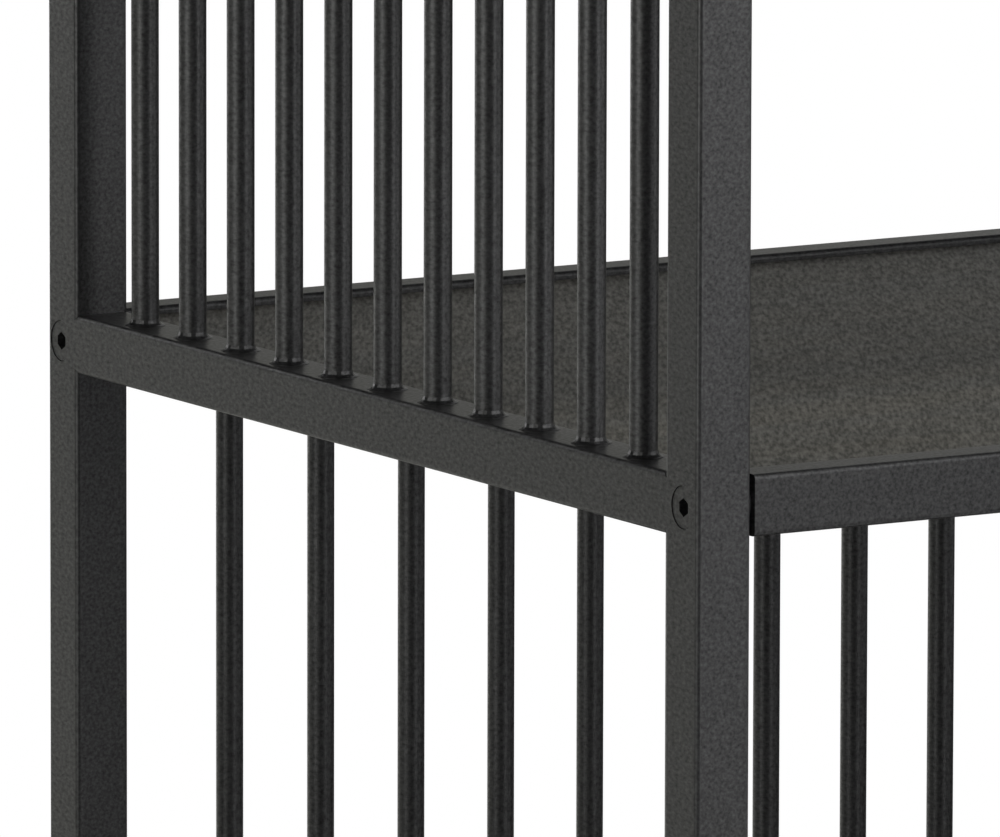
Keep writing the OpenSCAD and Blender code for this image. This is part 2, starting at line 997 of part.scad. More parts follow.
post_front_left();
post_front_right();
post_back_left();
post_back_right();
post_caps();
foot_glides();
left_shelf_bar();
left_foot_bar();
left_top_rail();
left_end_rods();
right_shelf_bar();
right_foot_bar();
right_top_rail();
right_end_rods();
shelf_rail_front();
shelf_rail_back();
shelf_ledges();
shelf_board();
lower_rail_front();
lower_rail_back();
lower_ledges();
lower_board();
board_screws();
rear_grille_rods();
shelf_bolts();
shelf_bolt_sleeves();
shelf_spacers();
shelf_nuts();
back_bottom_rail();
back_top_rail();
back_stiles();
back_rods();
front_bottom_rail();
front_sill_rail();
front_stiles();
front_rods();
panel_bolts();
panel_bolt_sleeves();
panel_inserts();
base_front_tube();
base_back_tube();
base_end_tubes();
base_slats();
base_brackets();
base_screws();
gate_bottom_rail();
gate_top_rail();
gate_stiles();
gate_rods();
hinge_fixed_leaves();
hinge_gate_leaves();
hinge_pins();
sill_rivets();
gate_rivets();
latch_guides();
latch_bolt_left();
latch_bolt_right();
latch_knob_left();
latch_knob_right();
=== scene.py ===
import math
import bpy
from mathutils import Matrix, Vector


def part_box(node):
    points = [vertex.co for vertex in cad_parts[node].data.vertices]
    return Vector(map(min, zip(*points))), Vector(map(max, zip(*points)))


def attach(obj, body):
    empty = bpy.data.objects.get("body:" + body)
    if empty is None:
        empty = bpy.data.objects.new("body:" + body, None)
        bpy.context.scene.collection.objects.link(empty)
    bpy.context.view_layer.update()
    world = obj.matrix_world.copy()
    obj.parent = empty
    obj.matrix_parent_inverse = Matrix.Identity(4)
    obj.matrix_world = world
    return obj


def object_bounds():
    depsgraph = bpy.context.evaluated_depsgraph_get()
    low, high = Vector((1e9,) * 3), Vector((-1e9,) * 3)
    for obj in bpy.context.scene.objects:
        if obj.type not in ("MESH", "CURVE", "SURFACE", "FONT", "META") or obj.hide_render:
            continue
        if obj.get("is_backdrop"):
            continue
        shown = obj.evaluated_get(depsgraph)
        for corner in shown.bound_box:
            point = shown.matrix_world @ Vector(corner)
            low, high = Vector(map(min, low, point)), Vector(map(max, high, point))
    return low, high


bl_info = {
    "name": "Storage Crib",
    "version": (1, 0, 0),
    "blender": (4, 5, 0),
    "location": "View3D > Sidebar > Crib",
    "description": "Coats and finishes a metal baby crib with storage shelves, and sets its studio",
    "category": "Object",
}

import bmesh
import bpy
from bpy.props import FloatProperty, FloatVectorProperty, PointerProperty
from mathutils import Matrix, Vector

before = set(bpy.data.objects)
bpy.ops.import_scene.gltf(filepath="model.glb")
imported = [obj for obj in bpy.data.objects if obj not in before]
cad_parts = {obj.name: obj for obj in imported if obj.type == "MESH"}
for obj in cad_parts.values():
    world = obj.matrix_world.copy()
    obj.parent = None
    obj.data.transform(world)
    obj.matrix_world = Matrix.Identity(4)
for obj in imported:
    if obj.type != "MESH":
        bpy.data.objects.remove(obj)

# The frame's nodes by finish
POSTS = ["post_front_left", "post_front_right", "post_back_left", "post_back_right"]
END_BARS = [
    "left_shelf_bar", "left_foot_bar", "left_top_rail",
    "right_shelf_bar", "right_foot_bar", "right_top_rail",
]
SHELF_RAILS = ["shelf_rail_front", "shelf_rail_back", "lower_rail_front", "lower_rail_back"]
LEDGES = ["shelf_ledges", "lower_ledges"]
PANEL_FRAMES = [
    "back_bottom_rail", "back_top_rail", "back_stiles",
    "front_bottom_rail", "front_sill_rail", "front_stiles",
    "gate_bottom_rail", "gate_top_rail", "gate_stiles",
]
RODS = [
    "left_end_rods", "right_end_rods", "rear_grille_rods",
    "back_rods", "front_rods", "gate_rods",
]
BASE_TUBES = ["base_front_tube", "base_back_tube", "base_end_tubes", "base_brackets"]
BOARDS = ["shelf_board", "lower_board"]
HINGES = ["hinge_fixed_leaves", "hinge_gate_leaves"]
BLACK_BOLTS = ["panel_bolts", "hinge_pins", "sill_rivets", "gate_rivets"]
ZINC_PARTS = [
    "shelf_nuts", "shelf_bolt_sleeves", "panel_bolt_sleeves",
    "board_screws", "base_screws", "latch_bolt_left", "latch_bolt_right",
]
PLASTIC_PARTS = ["post_caps", "foot_glides", "latch_guides", "panel_inserts", "shelf_spacers"]
KNOBS = ["latch_knob_left", "latch_knob_right"]

# Welds
RODDED_BARS = ["left_shelf_bar", "right_shelf_bar"]
RODS_PER_BAR = 11
FILL_STEPS = 4
FILLET_STEPS = 20
# How far a fillet reaches into its rod, and into the bar under it
FILLET_ROOT, FILLET_SINK = 0.001, 0.0005
# Points of a fillet's hollow face, in shares of its leg: outwards, upwards
FILLET_FACE = ((1.0, 0.05), (0.5, 0.2), (0.2, 0.5), (0.05, 1.0))

# Noise textures: their mean, the rougher kind's own roughness, and how far they swing a finish's
NOISE_MEAN = 0.5
ROUGHER_NOISE = 0.6
ROUGHNESS_SWING = 0.2
GRAIN_ROUGHNESS = 0.15
# Powder coat: its finer specks, its broad cloud, and its darkest and mean levels
SPECK_SCALE, SPECK_SHARE = 2.1, 0.2
CLOUD_SIZE, CLOUD_CONTRAST = 0.05, 0.10
COAT_DARKEST, COAT_MEAN_GLOSS, COAT_SPECULAR = 0.15, 0.55, 0.22
# The share of the grain's height that the coat on the rods has
ROD_GRAIN = 0.4
# Laminate: streaks and figure, as length, width and thickness
STREAK_SIZES, STREAK_START, STREAK_FULL, STREAK_LIGHT = (0.045, 0.006, 0.004), 0.60, 0.78, 0.15
FIGURE_SIZES, FIGURE_START, FIGURE_FULL, FIGURE_LIGHT = (0.35, 0.05, 0.03), 0.42, 0.58, 0.2
BOARD_WARM_RED, BOARD_WARM_BLUE = 1.04, 0.94
BOARD_DARKEST, BOARD_MEAN_GLOSS, BOARD_SPECULAR = 0.2, 0.47, 0.15
BOARD_GRAIN_DEPTH = 0.00005
# Hardware: the sizes of the clouds and of the fine grain on each finish
ZINC_ROUGHNESS, ZINC_CLOUD, ZINC_FINE, ZINC_DEPTH = 0.38, 0.003, 0.0004, 0.00003
BLACK_ROUGHNESS, BLACK_CLOUD, BLACK_FINE, BLACK_DEPTH = 0.42, 0.004, 0.0012, 0.0001
PLASTIC_ROUGHNESS, PLASTIC_CLOUD, PLASTIC_FINE, PLASTIC_DEPTH = 0.5, 0.02, 0.0007, 0.00008
STEEL_CONTRAST, BLACK_FINE_CONTRAST, PLASTIC_CONTRAST = 0.3, 0.5, 0.2
BLACK_SPECULAR, PLASTIC_SPECULAR = 0.3, 0.4

# Floor: its size, its gap under the feet, and how far out its shadow fades to white
FLOOR_RADIUS, FLOOR_SIDES, FLOOR_GAP = 120, 96, 0.0003
FLOOR_COLOUR = (0.86, 0.86, 0.86)
SHADOW_START, SHADOW_END = 0.05, 0.40
# Lamps: the point that they face
LIGHT_AIM = (0.0, 0.0, 0.55)
# Cards: one turned step, and the heights at which the cloth and the cards clear the floor
DEGREES_PER_STEP, FEWEST_STEPS, FULL_TURN = 5, 4, 360
DOUBLES = 0.0001
CLOTH_LIFT, CARD_LIFT, SWEEP_LIFT, WALL_FOOT = 0.002, 0.004, 0.006, 0.01
CLOTH_GLOW, CLOTH_HOLE = 0.02, 0.7
NEAR_RADIUS, MID_RADIUS, MID_HEIGHT = 0.75, 2.2, 2.2
CARD_INSET, CARD_DROP = 0.05, 0.1
WARM, PLAIN, COOL = (1.0, 1.0, 0.93), (1.0, 1.0, 1.0), (0.98, 0.98, 1.04)
# Camera
SENSOR_WIDTH, NEAR_CLIP, FAR_CLIP = 36, 0.1, 300


class CribCoatSettings(bpy.types.PropertyGroup):
    colour: FloatVectorProperty(
        name="Coat Colour", description="Colour of the powder coat", subtype="COLOR",
        size=3, min=0, max=1, default=(0.0157, 0.0157, 0.0160),
    )
    rod_colour: FloatVectorProperty(
        name="Rod Colour", description="Colour of the smoother coat on the round rods",
        subtype="COLOR", size=3, min=0, max=1, default=(0.020, 0.020, 0.0203),
    )
    post_corner: FloatProperty(
        name="Post Corner", description="Outer corner radius of the square tubes",
        unit="LENGTH", min=0.0005, max=0.01, default=0.0025,
    )
    rod_radius: FloatProperty(
        name="Rod Radius", description="Radius of the rods on the shelf bars",
        unit="LENGTH", min=0.003, max=0.02, default=0.007,
    )
    rod_pitch: FloatProperty(
        name="Rod Pitch", description="Distance between the rods on the shelf bars",
        unit="LENGTH", min=0.02, max=0.1, default=0.0486,
    )
    weld_leg: FloatProperty(
        name="Weld Leg", description="How far a rod's weld fillet reaches out and up",
        unit="LENGTH", min=0.0005, max=0.006, default=0.0032,
    )
    # Rail Shade darkens the frame coat's colour and gloss for the shelf rails and the shelf bolts:
    # partly painted shade, standing for the dimmer light on the rails beside the brighter-lit
    # posts, and partly the rails' own darker finish.
    rail_tone_and_shade: FloatProperty(
        name="Rail Shade", description="How dark the long shelf rails are beside the posts",
        subtype="FACTOR", min=0, max=1, default=0.85,
    )
    grain_size: FloatVectorProperty(
        name="Grain Size", description="Distance between the crests of the coat's texture",
        subtype="XYZ", unit="LENGTH", size=3, min=0.0005, max=0.01,
        default=(0.0018, 0.0032, 0.0017),
    )
    # Grain Contrast sets the painted highlight on the coat's crests and the painted shade in its
    # hollows.
    grain_contrast: FloatProperty(
        name="Grain Contrast", description="How much the grain lightens and darkens the coat",
        subtype="FACTOR", min=0, max=5, default=1.75,
    )
    grain_depth: FloatProperty(
        name="Grain Depth", description="Height of the coat's texture",
        unit="LENGTH", min=0, max=0.001, default=0.00012,
    )
    roughness: FloatProperty(
        name="Coat Roughness", description="Roughness of the cured coat",
        subtype="FACTOR", min=0, max=1, default=0.4,
    )
    gloss: FloatProperty(
        name="Coat Gloss", description="Strength of the cured coat's gloss",
        subtype="FACTOR", min=0, max=1.5, default=1.0,
    )


class CribBoardSettings(bpy.types.PropertyGroup):
    colour: FloatVectorProperty(
        name="Board Colour", description="Colour of the laminate on the shelf boards",
        subtype="COLOR", size=3, min=0, max=1, default=(0.049, 0.0476, 0.0403),
    )
    grain_length: FloatProperty(
        name="Grain Length",
        description="Length of one fleck of the grain, mostly across the board",
        unit="LENGTH", min=0.001, max=0.1, default=0.012,
    )
    grain_contrast: FloatProperty(
        name="Board Grain Contrast", description="How much the flecks lighten and darken the board",
        subtype="FACTOR", min=0, max=5, default=2.2,
    )
    grain_width: FloatProperty(
        name="Grain Width", description="Width of one fleck of the grain, mostly along the board",
        unit="LENGTH", min=0.0002, max=0.02, default=0.0018,
    )
    grain_turn: FloatProperty(
        name="Grain Turn", description="Turn of the flecks from straight across the board",
        unit="ROTATION", min=-1.5708, max=1.5708, default=-0.53,
    )
    roughness: FloatProperty(
        name="Board Roughness", description="Roughness of the laminate",
        subtype="FACTOR", min=0, max=1, default=0.55,
    )


class CribHardwareSettings(bpy.types.PropertyGroup):
    zinc: FloatVectorProperty(
        name="Zinc Colour", description="Colour of the zinc plating", subtype="COLOR",
        size=3, min=0, max=1, default=(0.56, 0.57, 0.58),
    )
    black_steel: FloatVectorProperty(
        name="Black Steel Colour", description="Colour of the blackened fasteners and hinges",
        subtype="COLOR", size=3, min=0, max=1, default=(0.036, 0.036, 0.037),
    )
    plastic: FloatVectorProperty(
        name="Plastic Colour", description="Colour of the caps, glides, guides and knobs",
        subtype="COLOR", size=3, min=0, max=1, default=(0.022, 0.022, 0.023),
    )


class CribStageSettings(bpy.types.PropertyGroup):
    camera_place: FloatVectorProperty(
        name="Camera Place", description="Where the camera stands", subtype="TRANSLATION",
        unit="LENGTH", size=3, default=(-4.4125, -6.4778, 1.5965),
    )
    camera_yaw: FloatProperty(
        name="Camera Yaw", description="Turn of the camera from the crib's depth axis",
        subtype="ANGLE", default=math.radians(30.744),
    )
    camera_tilt: FloatProperty(
        name="Camera Tilt", description="How far the camera looks down",
        subtype="ANGLE", default=math.radians(8.945),
    )
    camera_roll: FloatProperty(
        name="Camera Roll", description="Turn of the camera about its own view",
        subtype="ANGLE", default=math.radians(0.135),
    )
    camera_lens: FloatProperty(
        name="Camera Lens", description="Focal length in millimetres on a 36 mm sensor",
        min=10, max=2000, default=554.72,
    )
    left_light: FloatProperty(
        name="Left Light", description="Power of the softbox beside the left end",
        unit="POWER", min=0, default=43,
    )
    back_light: FloatProperty(
        name="Back Light", description="Power of the softbox behind",
        unit="POWER", min=0, default=34,
    )
    front_light: FloatProperty(
        name="Front Light", description="Power of the narrow softbox in front",
        unit="POWER", min=0, default=46,
    )
    right_light: FloatProperty(
        name="Right Light", description="Power of the softbox at the front right",
        unit="POWER", min=0, default=33,
    )
    high_light: FloatProperty(
        name="High Light", description="Power of the softbox high in front",
        unit="POWER", min=0, default=115,
    )
    high_back_light: FloatProperty(
        name="High Back Light", description="Power of the softbox high behind",
        unit="POWER", min=0, default=4,
    )
    cloth_reach: FloatProperty(
        name="Cloth Reach", description="Distance of the dark cloth round the crib",
        unit="LENGTH", min=2, max=30, default=7.0,
    )
    cloth_height: FloatProperty(
        name="Cloth Height", description="Height of the dark cloth",
        unit="LENGTH", min=2, max=20, default=6.0,
    )
    room_light: FloatProperty(
        name="Room Light", description="Level of the light from the pale room all round",
        min=0, max=2, default=0.02,
    )


class Value:
    """A shader socket that Python's arithmetic works on."""

    def __init__(self, paint, socket):
        self.paint, self.socket = paint, socket

    def maths(self, operation, *values):
        """A Math node on values that are sockets or plain numbers."""
        return self.paint.node("ShaderNodeMath", {"operation": operation}, dict(enumerate(values)))

    def __add__(self, other):
        return self.maths("ADD", self, other)

    def __radd__(self, other):
        return self.maths("ADD", other, self)

    def __sub__(self, other):
        return self.maths("SUBTRACT", self, other)

    def __rsub__(self, other):
        return self.maths("SUBTRACT", other, self)

    def __mul__(self, other):
        return self.maths("MULTIPLY", self, other)

    def __rmul__(self, other):
        return self.maths("MULTIPLY", other, self)

    def __pow__(self, other):
        return self.maths("POWER", self, other)

    def __rpow__(self, other):
        return self.maths("POWER", other, self)

    def least(self, other):
        return self.maths("MINIMUM", self, other)

    def most(self, other):
        return self.maths("MAXIMUM", self, other)

    def size(self):
        return self.maths("ABSOLUTE", self)

    def swing(self, reach):
        """A noise, stretched by reach and moved to swing about 0."""
        return (self - NOISE_MEAN) * reach

    def step(self, low, high):
        """0 under low and 1 over high, with a smooth turn between them."""
        return self.paint.node(
            "ShaderNodeMapRange", {"interpolation_type": "SMOOTHSTEP"},
            {"Value": self, "From Min": low, "From Max": high},
        )


class Paint:
    """A material, or a world, made of nodes."""

    def __init__(self, owner):
        self.owner = owner
        owner.use_nodes = True
        self.tree = owner.node_tree
        self.tree.nodes.clear()

    def node(self, kind, settings=None, sockets=None, take=0):
        """Adds a node with its settings, then its sockets' values or links; gives one output."""
        made = self.tree.nodes.new(kind)
        for name, value in (settings or {}).items():
            setattr(made, name, value)
        for name, value in (sockets or {}).items():
            socket = made.inputs[name]
            if isinstance(value, Value):
                self.tree.links.new(value.socket, socket)
            elif socket.type == "RGBA" and len(value) == 3:
                socket.default_value = (*value, 1)
            else:
                socket.default_value = value
        return None if take is None else Value(self, made.outputs[take])

    def place(self):
        return self.node("ShaderNodeTexCoord", take="Object")

    def stretched(self, sizes, turn=0.0):
        """Object coordinates, turned about the upright axis, in steps of the three sizes."""
        return self.node(
            "ShaderNodeMapping", {"vector_type": "TEXTURE"},
            {"Vector": self.place(), "Rotation": (0, 0, turn), "Scale": sizes},
        )

    def noise(self, vector, scale=1.0, detail=2.0, roughness=0.5):
        return self.node(
            "ShaderNodeTexNoise", {},
            {"Vector": vector, "Scale": scale, "Detail": detail, "Roughness": roughness},
        )

    def tinted(self, colour, amount):
        """The colour, lightened and darkened by the amount, which is 1 where it stays."""
        return self.node(
            "ShaderNodeVectorMath", {"operation": "SCALE"}, {0: colour, "Scale": amount}
        )

    def mixed(self, factor, first, second):
        return self.node(
            "ShaderNodeMix", {"data_type": "RGBA", "clamp_factor": True},
            {"Factor": factor, 6: first, 7: second}, take=2,
        )

    def bump(self, height, distance):
        return self.node("ShaderNodeBump", {}, {"Height": height, "Distance": distance})

    def surface(self, colour, roughness, normal, **others):
        """The finished material; the other sockets are named with _ for a space."""
        sockets = {"Base Color": colour, "Roughness": roughness, "Normal": normal}
        sockets.update((name.replace("_", " "), value) for name, value in others.items())
        self.finish(self.node("ShaderNodeBsdfPrincipled", {}, sockets))
        return self.owner

    def part(self, vector, axis):
        return self.node("ShaderNodeSeparateXYZ", {}, {"Vector": vector}, take=axis)

    def glow(self, level, tint=(1, 1, 1)):
        return self.node("ShaderNodeEmission", {}, {"Color": tint, "Strength": level})

    def backdrop_rays(self):
        """1 for the rays that see the white backdrop: camera, gloss and glass."""
        camera, gloss, glass = (
            self.node("ShaderNodeLightPath", take=name)
            for name in ("Is Camera Ray", "Is Glossy Ray", "Is Transmission Ray")
        )
        return camera.most(gloss).most(glass)

    def finish(self, shader):
        world = isinstance(self.owner, bpy.types.World)
        kind = "ShaderNodeOutputWorld" if world else "ShaderNodeOutputMaterial"
        self.node(kind, {}, {"Surface": shader}, take=None)


def new_material(name):
    return Paint(bpy.data.materials.new(name))


def powder_coat(name, coat, tone, gloss=1.0, depth=1.0):
    """Fine-textured powder coat, half matt; its crests are painted lighter and glossier than its
    hollows, a painted highlight and painted shade on the grain.
    """
    paint = new_material(name)
    grain = paint.stretched(coat.grain_size)
    crests = paint.noise(grain, detail=1.0)
    specks = paint.noise(grain, scale=SPECK_SCALE, detail=0.0)
    cloud = paint.noise(paint.stretched([CLOUD_SIZE] * 3))
    height = crests * (1 - SPECK_SHARE) + specks * SPECK_SHARE
    relief = height.swing(coat.grain_contrast) + cloud.swing(CLOUD_CONTRAST)
    gloss = gloss * coat.gloss
    return paint.surface(
        # Base colour: crests painted lighter and hollows painted darker, a painted highlight and
        # painted shade on the grain, plus a broad random cloud of tone.
        paint.tinted(tuple(tone), (relief + 1.0).most(COAT_DARKEST)),
        crests.swing(GRAIN_ROUGHNESS) + coat.roughness,
        paint.bump(height, coat.grain_depth * depth),
        Coat_Weight=(relief + COAT_MEAN_GLOSS).most(0.0).least(1.0) * gloss,
        Coat_Roughness=coat.roughness, Specular_IOR_Level=COAT_SPECULAR * gloss,
    )


def wood_laminate(name, board):
    """Dark wood-grain laminate with short flecks and faint streaks along the board."""
    paint = new_material(name)
    length, width = board.grain_length, board.grain_width
    flecks = paint.noise(paint.stretched([width, length, width], board.grain_turn), detail=1.0)
    streaks = paint.noise(paint.stretched(STREAK_SIZES), roughness=ROUGHER_NOISE)
    figure = paint.noise(paint.stretched(FIGURE_SIZES))
    relief = flecks.swing(board.grain_contrast)
    bright_streaks = streaks.step(STREAK_START, STREAK_FULL) * STREAK_LIGHT
    light = relief + bright_streaks + figure.swing(FIGURE_LIGHT) + 1.0
    red, green, blue = board.colour
    tone = paint.mixed(
        figure.step(FIGURE_START, FIGURE_FULL), (red, green, blue),
        (red * BOARD_WARM_RED, green, blue * BOARD_WARM_BLUE),
    )
    return paint.surface(
        paint.tinted(tone, light.most(BOARD_DARKEST)),
        flecks.swing(GRAIN_ROUGHNESS) + board.roughness,
        paint.bump(flecks, BOARD_GRAIN_DEPTH),
        Coat_Weight=(relief + BOARD_MEAN_GLOSS).most(0.0).least(1.0),
        Coat_Roughness=board.roughness, Specular_IOR_Level=BOARD_SPECULAR,
    )


def plated_steel(name, colour):
    """Zinc plating with soft clouds."""
    paint = new_material(name)
    cloud = paint.noise(paint.stretched([ZINC_CLOUD] * 3), detail=3.0, roughness=ROUGHER_NOISE)
    fine = paint.noise(paint.stretched([ZINC_FINE] * 3))
    return paint.surface(
        paint.tinted(tuple(colour), cloud.swing(STEEL_CONTRAST) + 1.0),
        cloud.swing(ROUGHNESS_SWING) + ZINC_ROUGHNESS,
        paint.bump(fine, ZINC_DEPTH), Metallic=1.0,
    )


def black_oxide(name, colour):
    """Blackened steel, clouded and finely grained."""
    paint = new_material(name)
    cloud = paint.noise(paint.stretched([BLACK_CLOUD] * 3), detail=3.0, roughness=ROUGHER_NOISE)
    fine = paint.noise(paint.stretched([BLACK_FINE] * 3), roughness=ROUGHER_NOISE)
    light = cloud.swing(STEEL_CONTRAST) + fine.swing(BLACK_FINE_CONTRAST) + 1.0
    return paint.surface(
        paint.tinted(tuple(colour), light),
        cloud.swing(ROUGHNESS_SWING) + BLACK_ROUGHNESS,
        paint.bump(fine, BLACK_DEPTH), Specular_IOR_Level=BLACK_SPECULAR,
    )


def moulded_plastic(name, colour):
    """Black plastic with the fine spark texture of its mould."""
    paint = new_material(name)
    spark = paint.noise(paint.stretched([PLASTIC_FINE] * 3), roughness=ROUGHER_NOISE)
    cloud = paint.noise(paint.stretched([PLASTIC_CLOUD] * 3))
    return paint.surface(
        paint.tinted(tuple(colour), cloud.swing(PLASTIC_CONTRAST) + 1.0),
        spark.swing(ROUGHNESS_SWING) + PLASTIC_ROUGHNESS,
        paint.bump(spark, PLASTIC_DEPTH), Specular_IOR_Level=PLASTIC_SPECULAR,
    )


def coat_nodes(names, material):
    """Gives the material to every slot of the named nodes."""
    for name in names:
        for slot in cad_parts[name].material_slots:
            slot.material = material


def add_weld(name, bm):
    """Makes an object of the finished bmesh, at the origin, in the posts' coat."""
    mesh = bpy.data.meshes.new(name)
    bm.to_mesh(mesh)
    bm.free()
    mesh.materials.append(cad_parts[POSTS[0]].material_slots[0].material)
    piece = bpy.data.objects.new(name, mesh)
    bpy.context.scene.collection.objects.link(piece)
    return piece


class CRIB_OT_coat_frame(bpy.types.Operator):
    """Powder-coats the posts, bars, rails, panel frames and shelf bolts"""
    bl_idname = "crib.coat_frame"
    bl_label = "Coat Frame"

    def execute(self, context):
        coat = context.scene.crib_coat
        plain = powder_coat("frame powder coat", coat, coat.colour)
        coat_nodes(POSTS + END_BARS + LEDGES + PANEL_FRAMES, plain)
        # A dimmer copy of the frame coat for the shelf rails and the shelf bolts: partly painted
        # shade, standing for the dimmer light on the rails beside the brighter-lit posts, and
        # partly the rails' own darker finish.
        tone_and_shade_colour = [level * coat.rail_tone_and_shade for level in coat.colour]
        rails = powder_coat("rail powder coat, dimmed for tone and shade", coat, tone_and_shade_colour, gloss=coat.rail_tone_and_shade)
        coat_nodes(SHELF_RAILS, rails)
        coat_nodes(["shelf_bolts"], powder_coat("bolt powder coat, dimmed for tone and shade", coat, tone_and_shade_colour))
        return {"FINISHED"}


class CRIB_OT_fill_welds(bpy.types.Operator):
    """Fills the grooves where the end bars butt against the rounded posts"""
    bl_idname = "crib.fill_welds"
    bl_label = "Fill Welds"

    def execute(self, context):
        corner = context.scene.crib_coat.post_corner
        whole = bmesh.new()
        for name in END_BARS:
            low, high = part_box(name)
            for x, inward in ((low.x, 1), (high.x, -1)):
                for y, outward in ((low.y, -1), (high.y, 1)):
                    fill = self.make_fill(corner, x, inward, y, outward, low.z, high.z)
                    whole.from_mesh(fill)
                    bpy.data.meshes.remove(fill)
        piece = add_weld("bar_weld_fills", whole)
        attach(piece, "crib_frame")
        return {"FINISHED"}

    def make_fill(self, corner, x, inward, y, outward, bottom, top):
        """One fill, between the bar's end at y, its side at x and the post's rounded corner.

        It draws in at its top and bottom as the bar's own rounded edges do.
        """
        slope = corner * (1 - math.sqrt(0.5))
        bm = bmesh.new()
        edge = bm.verts.new((x, y, bottom + slope))
        start = bm.verts.new((x, y + outward * corner, bottom + slope))
        centre = (x + inward * corner, y + outward * corner, bottom + slope)
        bmesh.ops.spin(
            bm, geom=[start], cent=centre, axis=(0, 0, 1),
            angle=math.radians(90 * inward * outward), steps=FILL_STEPS,
        )
        points = [edge, start]
        while len(points) < FILL_STEPS + 2:
            tip = points[-1]
            points += [e.other_vert(tip) for e in tip.link_edges if e.other_vert(tip) not in points]
        layers = [bm.faces.new(points)]
        for level in (bottom + corner, top - corner, top - slope):
            made = bmesh.ops.extrude_face_region(bm, geom=layers[-1:])["geom"]
            layers.append(next(part for part in made if isinstance(part, bmesh.types.BMFace)))
            for point in layers[-1].verts:
                point.co.z = level
        for point in points + list(layers[-1].verts):
            point.co.x = x + inward * max(inward * (point.co.x - x), slope)
        bmesh.ops.delete(bm, geom=layers[1:-1], context="FACES_ONLY")
        bmesh.ops.recalc_face_normals(bm, faces=bm.faces)
        if bm.calc_volume(signed=True) < 0:
            bmesh.ops.reverse_faces(bm, faces=bm.faces)
        mesh = bpy.data.meshes.new("fill")
        bm.to_mesh(mesh)
        bm.free()
        return mesh


class CRIB_OT_weld_rods(bpy.types.Operator):
    """Runs a hollow weld fillet round the foot of each rod on the shelf bars"""
    bl_idname = "crib.weld_rods"
    bl_label = "Weld Rods"

    def execute(self, context):
        coat = context.scene.crib_coat
        bm = bmesh.new()
        for name in RODDED_BARS:
            low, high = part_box(name)
            for count in range(RODS_PER_BAR):
                along = (count - (RODS_PER_BAR - 1) / 2) * coat.rod_pitch
                self.run_fillet(bm, coat, Vector(((low.x + high.x) / 2, along, high.z)))
        bmesh.ops.recalc_face_normals(bm, faces=bm.faces)
        piece = add_weld("rod_weld_fillets", bm)
        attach(piece, "crib_frame")
        return {"FINISHED"}

    def run_fillet(self, bm, coat, foot):
        """One ring round the rod that stands at the foot, hollow towards the corner it fills."""
        radius, leg = coat.rod_radius, coat.weld_leg
        profile = [(radius - FILLET_ROOT, -FILLET_SINK), (radius + leg, -FILLET_SINK)]
        profile += [(radius + leg * out, leg * up) for out, up in FILLET_FACE]
        profile += [(radius - FILLET_ROOT, leg)]
        ends = [bm.verts.new(foot + Vector((out, 0, up))) for out, up in profile]
        edges = [bm.edges.new(pair) for pair in zip(ends, ends[1:] + ends[:1])]
        bmesh.ops.spin(
            bm, geom=ends + edges, cent=foot, axis=(0, 0, 1),
            angle=math.radians(FULL_TURN), steps=FILLET_STEPS, use_merge=True,
        )


class CRIB_OT_coat_rods(bpy.types.Operator):
    """Powder-coats the round rods"""
    bl_idname = "crib.coat_rods"
    bl_label = "Coat Rods"

    def execute(self, context):
        coat = context.scene.crib_coat
        smoother = powder_coat("rod powder coat", coat, coat.rod_colour, depth=ROD_GRAIN)
        coat_nodes(RODS, smoother)
        return {"FINISHED"}


class CRIB_OT_coat_base(bpy.types.Operator):
    """Powder-coats the mattress base and its slats"""
    bl_idname = "crib.coat_base"
    bl_label = "Coat Mattress Base"

    def execute(self, context):
        coat = context.scene.crib_coat
        coated = powder_coat("base powder coat", coat, coat.colour)
        coat_nodes(BASE_TUBES + ["base_slats"], coated)
        return {"FINISHED"}


class CRIB_OT_face_boards(bpy.types.Operator):
    """Faces the two shelf boards with wood-grain laminate"""
    bl_idname = "crib.face_boards"
    bl_label = "Face Boards"

    def execute(self, context):
        coat_nodes(BOARDS, wood_laminate("board laminate", context.scene.crib_board))
        return {"FINISHED"}


class CRIB_OT_finish_hardware(bpy.types.Operator):
    """Finishes the hinges, bolts, screws, caps, glides and latches"""
    bl_idname = "crib.finish_hardware"
    bl_label = "Finish Hardware"

    def execute(self, context):
        hardware = context.scene.crib_hardware
        coat_nodes(HINGES, black_oxide("hinge steel", hardware.black_steel))
        coat_nodes(BLACK_BOLTS, black_oxide("black bolts", hardware.black_steel))
        coat_nodes(ZINC_PARTS, plated_steel("zinc plating", hardware.zinc))
        coat_nodes(PLASTIC_PARTS, moulded_plastic("moulded plastic", hardware.plastic))
        coat_nodes(KNOBS, moulded_plastic("knob plastic", hardware.plastic))
        return {"FINISHED"}


def softbox(name, place, aim, width, height, power):
    """A rectangular lamp that faces its aim and that the camera doesn't see."""
    data = bpy.data.lights.new(name, "AREA")
    data.shape, data.size, data.size_y = "RECTANGLE", width, height
    data.energy = power
    lamp = bpy.data.objects.new(name, data)
    lamp.location = place
    lamp.rotation_euler = (Vector(aim) - Vector(place)).to_track_quat("-Z", "Y").to_euler()
    lamp.visible_camera = False
    bpy.context.scene.collection.objects.link(lamp)


